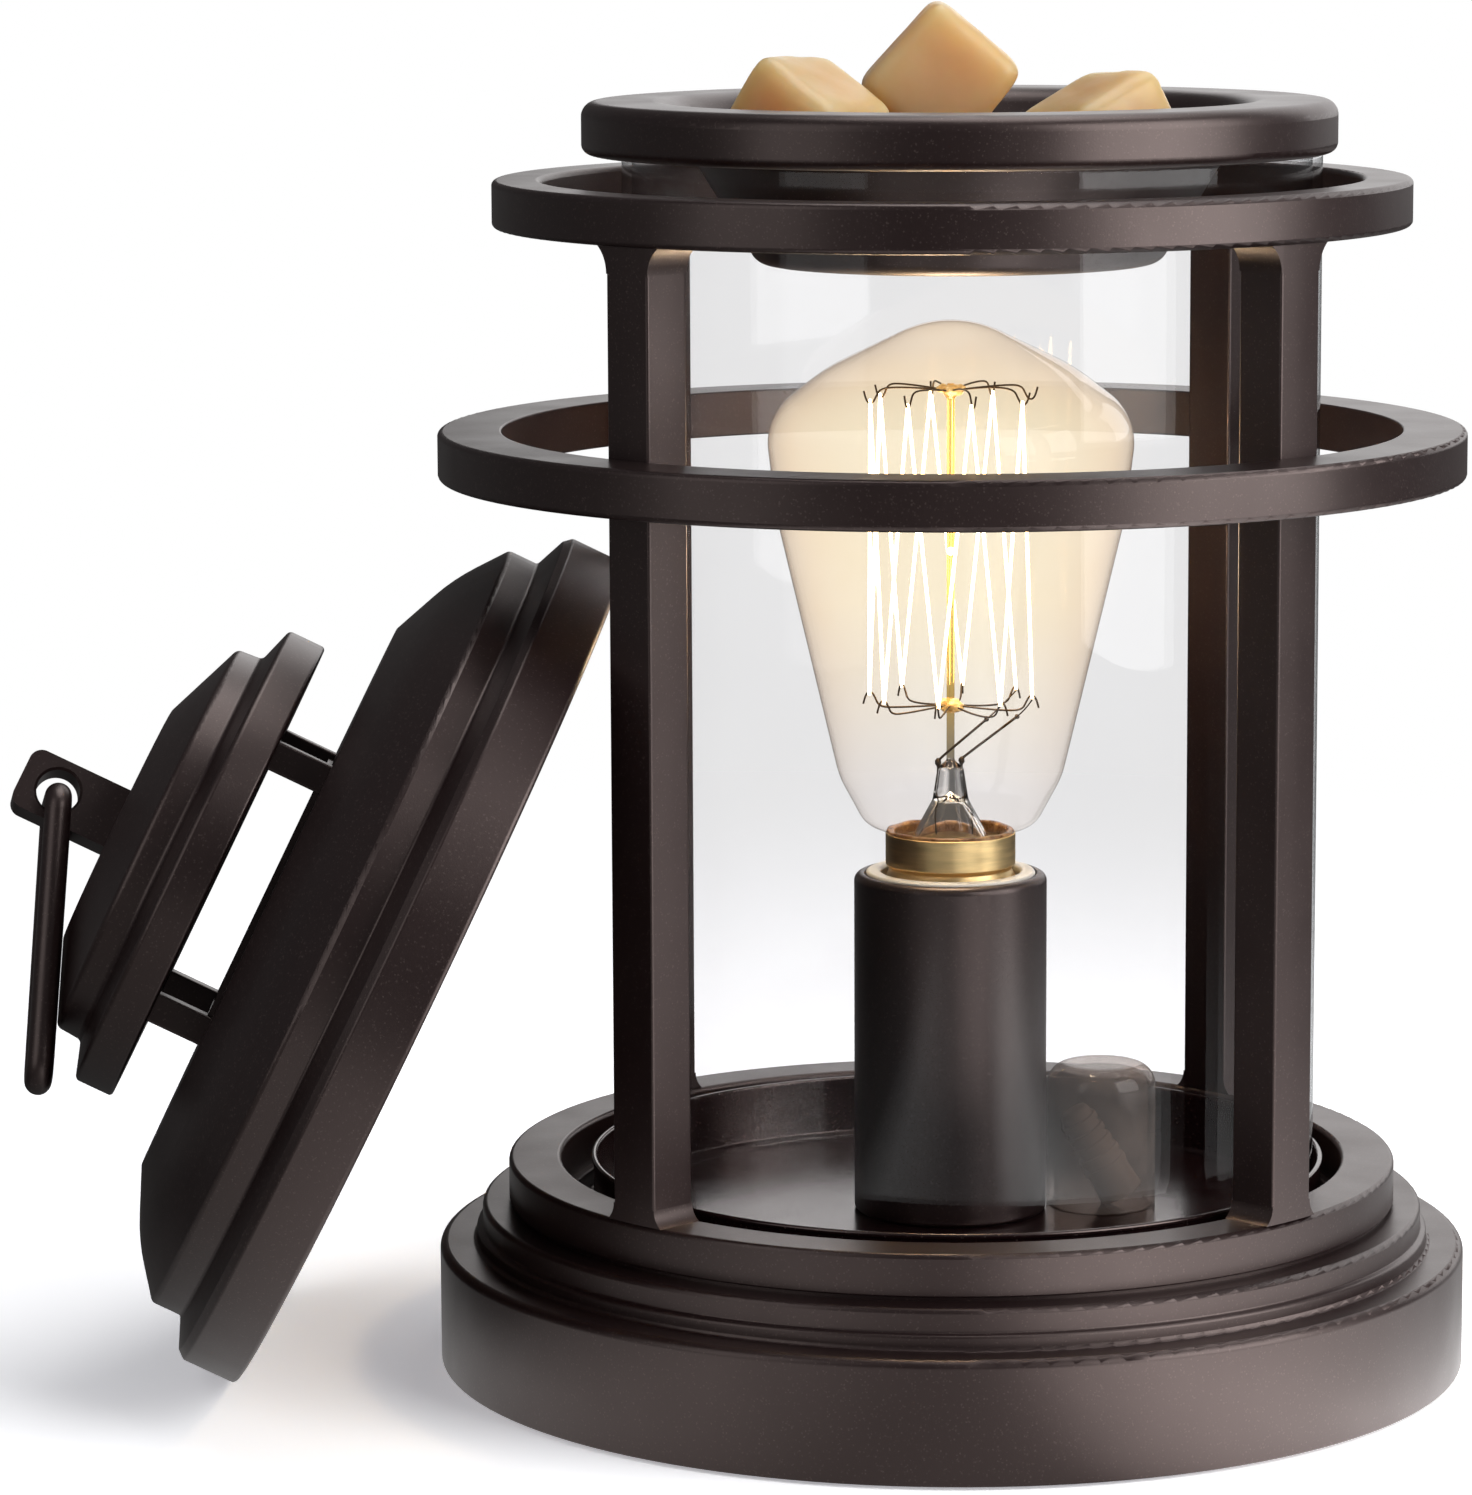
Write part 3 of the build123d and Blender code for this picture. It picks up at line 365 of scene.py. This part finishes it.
def smoky(name, tint, edge_tint, milk, share):
    """Smoky plastic: a clear wall with a milky brown share."""
    mat = pane(name, tint, edge_tint, 0.035, 0.08, 0.05)
    tree = mat.node_tree
    clear = tree.nodes["Material Output"].inputs["Surface"].links[0].from_socket
    streaks = noise(tree, 130, 4, 0.6)
    dark = tuple(c * 0.7 for c in milk)
    cloud = diffuse(tree, ramp(tree, streaks, [(0.35, dark), (0.65, milk)]))
    finish_surface(tree, blend(tree, grey(tree, streaks, share * 0.7, share * 1.3), clear, cloud))
    return mat


def pane(name, tint, edge_tint, gloss, rough, cloud):
    """Thin clear wall: light passes straight through, with a mirror share that grows at the edges."""
    mat, tree, _ = new_material(name)
    spot = coords(tree)
    facing = add(tree, "ShaderNodeLayerWeight", Blend=0.5).outputs["Facing"]
    toned = ramp(tree, facing, [(0.0, tint), (0.55, tint), (1.0, edge_tint)])
    dim = tuple(c * (1 - cloud) for c in tint)
    smear = ramp(tree, noise(tree, 30, 3, 0.5, spot), [(0.35, dim), (0.65, (1, 1, 1))])
    clear = see_through(tree, mix(tree, cloud * 10, toned, smear, "MULTIPLY"))
    shine = add(tree, "ShaderNodeBsdfGlossy")
    satin = grey(tree, noise(tree, 50, 3, 0.5, spot), rough, rough + 0.03)
    tree.links.new(satin, shine.inputs["Roughness"])
    steep = add(tree, "ShaderNodeMath", operation="POWER")
    tree.links.new(facing, steep.inputs[0])
    steep.inputs[1].default_value = EDGE_POWER
    share = fade(tree, steep.outputs["Value"], (0.0, 1.0), (gloss, gloss + EDGE_GLOSS), "LINEAR")
    shadow_clear(tree, blend(tree, share, clear, shine.outputs["BSDF"]), tint)
    return mat


def bulb_shell():
    """Thin amber glass, clear in front, with a painted glow on its far side that stands in for the filament's
    light in the glass.
    """
    mat, tree, _ = new_material("amber_shell")
    spot = coords(tree)
    facing = add(tree, "ShaderNodeLayerWeight", Blend=0.35).outputs["Facing"]
    # painted glow: the shell's far side gives light, brightest where it faces the view and growing towards
    # the top, standing in for the filament's light
    stops = [(0.0, (1.0, 0.88, 0.62)), (0.40, (0.93, 0.76, 0.54)), (0.8, (0.79, 0.66, 0.54))]
    mottle = grey(tree, noise(tree, 45, 3, 0.5, spot), 0.0, 0.25)
    painted_glow = glowing(tree, mix(tree, mottle, ramp(tree, facing, stops), (1.0, 0.93, 0.80)), 1.12)
    amount = fade(tree, axis(tree, spot, "Z"), PAINTED_GLOW_RISE, (0.0, PAINTED_GLOW_SHARE), "LINEAR")
    back = blend(tree, amount, see_through(tree, (0.995, 0.972, 0.962)), painted_glow)
    stops = [(0.0, (1.0, 0.99, 0.98)), (0.6, (0.99, 0.955, 0.925)), (0.97, (0.66, 0.58, 0.52))]
    shine = add(tree, "ShaderNodeBsdfGlossy", Roughness=0.03).outputs["BSDF"]
    mirror = add(tree, "ShaderNodeFresnel", IOR=1.35).outputs["Fac"]
    front = blend(tree, mirror, see_through(tree, ramp(tree, facing, stops)), shine)
    side = add(tree, "ShaderNodeNewGeometry").outputs["Backfacing"]
    shadow_clear(tree, blend(tree, side, front, back), (0.98, 0.96, 0.93))
    return mat


def wax():
    """Cloudy wax that lets some light in."""
    mat, tree, bsdf = new_material("wax")
    spot = coords(tree)
    cloud = noise(tree, 55, 4, 0.55, spot)
    tone = ramp(tree, cloud, [(0.3, (0.66, 0.40, 0.18)), (0.7, (0.73, 0.48, 0.25))])
    tree.links.new(tone, bsdf.inputs["Base Color"])
    tree.links.new(grey(tree, noise(tree, 140, 3, 0.5, spot), 0.30, 0.45), bsdf.inputs["Roughness"])
    bsdf.inputs["Subsurface Weight"].default_value = 0.95
    bsdf.inputs["Subsurface Radius"].default_value = (0.030, 0.022, 0.014)
    bsdf.inputs["Subsurface Scale"].default_value = 1.0
    soft = bump(tree, bsdf, noise(tree, 260, 2, 0.5, spot), 0.12, 0.0003)
    bump(tree, bsdf, noise(tree, 40, 2, 0.4, spot), 0.2, 0.001, soft)
    return mat


def glow(name, colour, strength):
    """Wire that glows, uneven in colour."""
    mat, tree, bsdf = new_material(name)
    bsdf.inputs["Base Color"].default_value = (*colour, 1)
    tone = ramp(tree, noise(tree, 60, 2, 0.5), [(0.3, colour), (0.7, (1.0, 0.75, 0.42))])
    tree.links.new(tone, bsdf.inputs["Emission Color"])
    bsdf.inputs["Emission Strength"].default_value = strength
    return mat


def felt():
    """Dark felt of the base's pad."""
    mat, tree, bsdf = new_material("pad_felt")
    fuzz = noise(tree, 900, 4, 0.7)
    tone = ramp(tree, fuzz, [(0.3, (0.018, 0.017, 0.018)), (0.7, (0.05, 0.048, 0.05))])
    tree.links.new(tone, bsdf.inputs["Base Color"])
    bsdf.inputs["Roughness"].default_value = 0.95
    bsdf.inputs["Sheen Weight"].default_value = 0.4
    bump(tree, bsdf, fuzz, 0.6, 0.0006)
    return mat


MATERIALS = {
    "bronze_metal": bronze(),
    "plain_steel": steel("plain_steel", (0.56, 0.56, 0.57), 0.32),
    "brass": steel("brass", (0.95, 0.70, 0.34), 0.30),
    "solder": steel("solder", (0.6, 0.6, 0.6), 0.4),
    "hook_steel": steel("hook_steel", (0.060, 0.040, 0.024), 0.40),
    "glowing_wire": glow("glowing_wire", (1.0, 0.62, 0.26), 14.0),
    "amber_glass": bulb_shell(),
    "white_ceramic": plastic("white_ceramic", (0.80, 0.78, 0.74), 0.3, 0.05),
    "black_plastic": plastic("black_plastic", (0.02, 0.02, 0.02), 0.4),
    "smoky_plastic": smoky(
        "smoky_plastic", (0.82, 0.775, 0.75), (0.62, 0.57, 0.54), (0.42, 0.33, 0.285), 0.15),
    "connector_plastic": plastic("connector_plastic", (0.30, 0.235, 0.19), 0.4),
    "lead_rubber": plastic("lead_rubber", (0.03, 0.03, 0.03), 0.55),
    "wax": wax(),
    "pad_felt": felt(),
}
OWN_MATERIALS = {
    "glass_chimney": pane("chimney_glass", (0.962, 0.961, 0.963), (0.80, 0.81, 0.82), 0.018, 0.0, 0.01),
    "bulb_stem": stem_glass(),
    "drip_pan": bronze("pan_enamel", 0.18),
}


def dress_nodes():
    """Each node gets its own material, or the one of its slot."""
    slots = {part["node"]: part["material_slot"] for part in frame["record"]["subparts"]}
    for name, obj in NODES.items():
        obj.data.materials.clear()
        obj.data.materials.append(OWN_MATERIALS.get(name) or MATERIALS[slots[name]])


# Camera

def set_camera():
    """Camera at the photograph's place, level and roll."""
    data = bpy.data.cameras.new("camera")
    data.sensor_width = SENSOR
    data.lens = FOCAL_PX / IMAGE_HEIGHT_PX * SENSOR
    data.clip_end = 50
    cam = bpy.data.objects.new("camera", data)
    bpy.context.scene.collection.objects.link(cam)
    lift = math.radians(ELEVATION)
    place = Vector(TARGET) + DISTANCE * Vector((0, -math.cos(lift), math.sin(lift)))
    tilt = Matrix.Rotation(math.radians(90) - lift, 4, "X")
    roll = Matrix.Rotation(math.radians(ROLL), 4, "Z")
    cam.matrix_world = Matrix.Translation(place * MM) @ tilt @ roll
    bpy.context.scene.camera = cam


# Stage and light

def mirror_levels(tree, spot, far):
    """How bright floor and backdrop look in the object's gloss: lit on the right, darker further out."""
    x, y, z = (axis(tree, spot, name) for name in "XYZ")
    across = fade(tree, x, (-MIRROR_HALF, MIRROR_HALF), shape="LINEAR")
    stops = [(0.5 + place / (2 * MIRROR_HALF), (level,) * 3) for place, level in MIRROR_ACROSS]
    strip = add(tree, "ShaderNodeVectorMath", operation="SCALE")
    tree.links.new(ramp(tree, across, stops), strip.inputs[0])
    tree.links.new(fade(tree, y, MIRROR_DEEP, (1.0, MIRROR_BACK)), strip.inputs["Scale"])
    floor = mix(tree, far, strip.outputs["Vector"], (FAR_LIGHT,) * 3)
    wall = fade(tree, x, WALL_SIDE, (WALL_DARK, WALL_LIGHT))
    return mix(tree, fade(tree, z, WALL_RISE), floor, wall)


def sweep_material():
    """White paper: lit by the lamps near the object, evenly white further out."""
    mat, tree, _ = new_material("sweep_paper")
    spot = coords(tree)
    path = add(tree, "ShaderNodeLightPath").outputs
    either = add(tree, "ShaderNodeMath", operation="MAXIMUM")
    tree.links.new(path["Is Camera Ray"], either.inputs[0])
    tree.links.new(path["Is Transmission Ray"], either.inputs[1])
    seen = either.outputs["Value"]
    reach = add(tree, "ShaderNodeVectorMath", operation="DISTANCE")
    tree.links.new(spot, reach.inputs[0])
    reach.inputs[1].default_value = STAGE_CENTRE
    far = fade(tree, reach.outputs["Value"], FLOOR_FAR)
    paper = grey(tree, noise(tree, 300, 2, 0.5, spot), FLOOR_GAIN * 0.88, FLOOR_GAIN * 0.90)
    near = add(tree, "ShaderNodeAddShader")
    tree.links.new(diffuse(tree, mix(tree, seen, (0.5, 0.5, 0.5), paper)), near.inputs[0])
    tree.links.new(glowing(tree, mix(tree, seen, (0, 0, 0), FLOOR_LIFT)), near.inputs[1])
    white = glowing(tree, mix(tree, seen, (FAR_LIGHT,) * 3, (1, 1, 1)))
    direct = blend(tree, far, near.outputs["Shader"], white)
    mirrored = glowing(tree, mirror_levels(tree, spot, far))
    finish_surface(tree, blend(tree, path["Is Glossy Ray"], direct, mirrored))
    return mat


def set_stage():
    """Floor that curves up into the backdrop."""
    wide, near, bend, radius, top = 6.0, -4.0, 3.0, 1.5, 5.0
    profile = [(near, 0.0), (bend, 0.0)]
    for i in range(1, 17):
        turn = math.radians(90 * i / 16)
        profile.append((bend + radius * math.sin(turn), radius - radius * math.cos(turn)))
    profile.append((bend + radius, top))
    points = [(x, y, z) for y, z in profile for x in (-wide, wide)]
    faces = [(2 * i, 2 * i + 1, 2 * i + 3, 2 * i + 2) for i in range(len(profile) - 1)]
    mesh = bpy.data.meshes.new("sweep")
    mesh.from_pydata(points, [], faces)
    mesh.materials.append(sweep_material())
    for face in mesh.polygons:
        face.use_smooth = True
    obj = bpy.data.objects.new("sweep", mesh)
    bpy.context.scene.collection.objects.link(obj)


def area(name, place, aim, size, watts):
    """A softbox that faces a point."""
    data = bpy.data.lights.new(name, "AREA")
    data.shape = "RECTANGLE"
    data.size, data.size_y = size
    data.energy = watts
    obj = bpy.data.objects.new(name, data)
    bpy.context.scene.collection.objects.link(obj)
    obj.location = place
    obj.rotation_euler = (Vector(aim) - Vector(place)).to_track_quat("-Z", "Y").to_euler()


def on_floor(azimuth, distance, height):
    """A place round the lantern: degrees from the camera's side, towards +X."""
    turn = math.radians(azimuth)
    return (distance * math.sin(turn), -distance * math.cos(turn), height)


def set_bulb_light():
    """The light that the filament gives to what is round it."""
    data = bpy.data.lights.new("bulb_light", "POINT")
    data.energy = BULB_WATTS
    data.color = BULB_COLOUR
    data.shadow_soft_size = BULB_SIZE
    lamp = bpy.data.objects.new("bulb_light", data)
    lamp.location = BULB_PLACE
    lamp.visible_camera = False
    bpy.context.scene.collection.objects.link(lamp)


def set_sky():
    """Dim sky for the object, white to the camera."""
    world = bpy.data.worlds.new("world")
    world.use_nodes = True
    tree = world.node_tree
    path = add(tree, "ShaderNodeLightPath")
    sky = mix(tree, path.outputs["Is Camera Ray"], SKY, (1, 1, 1))
    tree.links.new(sky, tree.nodes["Background"].inputs["Color"])
    tree.nodes["Background"].inputs["Strength"].default_value = 1.0
    bpy.context.scene.world = world


def set_light():
    """Two side softboxes, one above, the bulb's light and the sky."""
    for name, azimuth, size, watts in SIDE_BOXES:
        area(name, on_floor(azimuth, BOX_REACH, BOX_HEIGHT), BOX_AIM, size, watts)
    area("softbox_top", *TOP_BOX)
    set_bulb_light()
    set_sky()


# The bulb's thin shell

def arc_points(before, corner, after, radius, steps):
    """Points of the rounding at a corner of an outline."""
    a = (Vector(before) - Vector(corner)).normalized()
    b = (Vector(after) - Vector(corner)).normalized()
    half = a.angle(b) / 2
    reach = radius / math.tan(half)
    middle = Vector(corner) + (a + b).normalized() * radius / math.sin(half)
    start = Vector(corner) + a * reach - middle
    sweep = math.pi - 2 * half
    side = 1 if a.x * b.y - a.y * b.x < 0 else -1
    out = []
    for i in range(steps + 1):
        turn = side * sweep * i / steps
        c, s = math.cos(turn), math.sin(turn)
        out.append((middle.x + c * start.x - s * start.y, middle.y + s * start.x + c * start.y))
    return out


def rounded(corners, steps):
    """Outline of (radius, height, rounding) corners with its roundings worked out."""
    out = [corners[0][:2]]
    for (r0, z0, _), (r1, z1, f), (r2, z2, _) in zip(corners, corners[1:], corners[2:]):
        out += arc_points((r0, z0), (r1, z1), (r2, z2), f, steps) if f else [(r1, z1)]
    return out + [corners[-1][:2]]


def lathe(name, outline, segments=160):
    """Surface of revolution about the lantern's axis from points in millimetres."""
    mesh = bpy.data.meshes.new(name)
    points, faces = [], []
    for r, z in outline:
        for i in range(segments):
            turn = 2 * math.pi * i / segments
            points.append((r * math.cos(turn) * MM, r * math.sin(turn) * MM, z * MM))
    for k in range(len(outline) - 1):
        for i in range(segments):
            j = (i + 1) % segments
            low, high = k * segments, (k + 1) * segments
            faces.append((low + i, low + j, high + j, high + i))
    mesh.from_pydata(points, [], faces)
    work = bmesh.new()
    work.from_mesh(mesh)
    bmesh.ops.remove_doubles(work, verts=work.verts, dist=1e-6)
    bmesh.ops.recalc_face_normals(work, faces=work.faces)
    work.to_mesh(mesh)
    work.free()
    for face in mesh.polygons:
        face.use_smooth = True
    obj = bpy.data.objects.new(name, mesh)
    bpy.context.scene.collection.objects.link(obj)
    return obj


def bulb_envelope():
    """The bulb's thin shell with its smooth outline."""
    shell = lathe("bulb_envelope", rounded(BULB_OUTLINE, 16))
    shell.data.materials.append(MATERIALS["amber_glass"])
    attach(shell, "bulb_turn")
    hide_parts("bulb_glass")


# Small pieces inside the bulb

def wires(name, paths, radius, material, body, slot, *replaced):
    """Round wires along smooth paths, in millimetres, as one piece."""
    curve = bpy.data.curves.new(name, "CURVE")
    curve.dimensions = "3D"
    curve.bevel_depth = radius * MM
    curve.bevel_resolution = 3
    curve.use_fill_caps = True
    for path in paths:
        spline = curve.splines.new("NURBS")
        spline.points.add(len(path) - 1)
        for point, place in zip(spline.points, path):
            point.co = (*(c * MM for c in place), 1)
        spline.order_u = 3
        spline.use_endpoint_u = True
        spline.resolution_u = 8
    drawn = bpy.data.objects.new(name + "_line", curve)
    bpy.context.scene.collection.objects.link(drawn)
    bpy.context.view_layer.update()
    mesh = bpy.data.meshes.new_from_object(drawn.evaluated_get(bpy.context.evaluated_depsgraph_get()))
    bpy.data.objects.remove(drawn)
    piece(name, mesh, material, body, slot, *replaced)


def piece(name, mesh, material, body, slot, *replaced):
    """A finished mesh as a piece on a body."""
    mesh.materials.clear()
    mesh.materials.append(material)
    for face in mesh.polygons:
        face.use_smooth = True
    obj = bpy.data.objects.new(name, mesh)
    bpy.context.scene.collection.objects.link(obj)
    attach(obj, body)
    if replaced:
        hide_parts(*replaced)


def lumps(name, blobs, rough, grain):
    """One mesh of joined, uneven drops: (place, radii) in millimetres."""
    work = bmesh.new()
    for place, radii in blobs:
        made = bmesh.ops.create_icosphere(work, subdivisions=3, radius=1.0)
        for vert in made["verts"]:
            swell = 1 + rough * field.noise(vert.co * grain + Vector(place))
            vert.co = Vector([c * r * swell for c, r in zip(vert.co, radii)]) + Vector(place)
            vert.co *= MM
    mesh = bpy.data.meshes.new(name)
    work.to_mesh(mesh)
    work.free()
    return mesh


def around(radius, turn, height):
    """A point at a radius, angle and height."""
    return (radius * math.cos(turn), radius * math.sin(turn), height)


def hook_paths():
    """Eight wires at each hub, out to a small open loop that holds a bend of the filament."""
    paths = []
    for i in range(HOOKS):
        turn = math.radians(i * 360 / HOOKS + CAGE_SPIN)
        hub, bend, way = (HUB_HIGH, BEND_HIGH, 1) if i % 2 == 0 else (HUB_LOW, BEND_LOW, -1)
        sag = 0.5 * field.noise(Vector((i * 1.7, 3.1, 0.4)))
        profile = [(r, hub + way * (rise + share * sag)) for r, rise, share in HOOK_ARM]
        profile += [(r, bend + way * rise) for r, rise in HOOK_LOOP]
        paths.append([around(r, turn + 0.02 * k * sag, z) for k, (r, z) in enumerate(profile)])
    return paths


def cage_pieces():
    """The filament's supports and the glass beads that hold them at the hubs."""
    dark = MATERIALS["hook_steel"]
    wires("support_wires", hook_paths(), HOOK_RADIUS, dark, "bulb_turn", "hook_steel", "filament_hooks")
    drops = lumps("hub_beads", HUB_DROPS, 0.35, 2.2)
    piece("hub_beads", drops, amber_bead(), "bulb_turn", "amber_glass")


def lead_pieces():
    """Two thick lead ends above the pinch, their thin tails, and the leads down through the glass."""
    dark = MATERIALS["hook_steel"]
    wires("lead_ends", LEAD_ENDS, LEAD_RADIUS, dark, "bulb_turn", "hook_steel", "bulb_leads")
    wires("lead_tails", LEAD_TAILS, TAIL_RADIUS, dark, "bulb_turn", "hook_steel")
    drops = lumps("lead_clamps", LEAD_DROPS, 0.3, 3.0)
    piece("lead_clamps", drops, dark, "bulb_turn", "hook_steel")


def cement_ring():
    """Brown cement between the bulb's neck and its cap, uneven along its top."""
    ring = lathe("cap_cement", rounded(CEMENT_OUTLINE, 5))
    for vert in ring.data.vertices:
        place = vert.co / MM
        turn = math.atan2(place.y, place.x)
        wave = field.noise(Vector((2.2 * math.cos(turn), 2.2 * math.sin(turn), 1.0)))
        if place.z > CEMENT_TOP:
            vert.co.z += CEMENT_WAVE * wave * MM
    ring.data.materials.append(glue())
    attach(ring, "bulb_turn")


def soft_wax(name, node):
    """The cube with its edges worn round, as handled wax has."""
    made = bpy.data.objects.new(name + "_raw", NODES[node].data.copy())
    bpy.context.scene.collection.objects.link(made)
    grid = made.modifiers.new("grid", "REMESH")
    grid.mode = "VOXEL"
    grid.voxel_size = WAX_VOXEL
    worn = made.modifiers.new("worn", "SMOOTH")
    worn.factor = 0.5
    worn.iterations = WAX_WEAR
    bpy.context.view_layer.update()
    mesh = bpy.data.meshes.new_from_object(made.evaluated_get(bpy.context.evaluated_depsgraph_get()))
    bpy.data.objects.remove(made)
    for vert in mesh.vertices:
        vert.co += WAX_RIPPLE * Vector(field.noise_vector(vert.co * WAX_RIPPLE_SCALE))
    piece(name, mesh, MATERIALS["wax"], "dish", "wax", node)


dress_nodes()
bulb_envelope()
cage_pieces()
lead_pieces()
cement_ring()
for side in ("left", "right", "top"):
    soft_wax("soft_cube_" + side, "wax_cube_" + side)
set_camera()
set_stage()
set_light()
bpy.context.scene.view_settings.view_transform = "Standard"
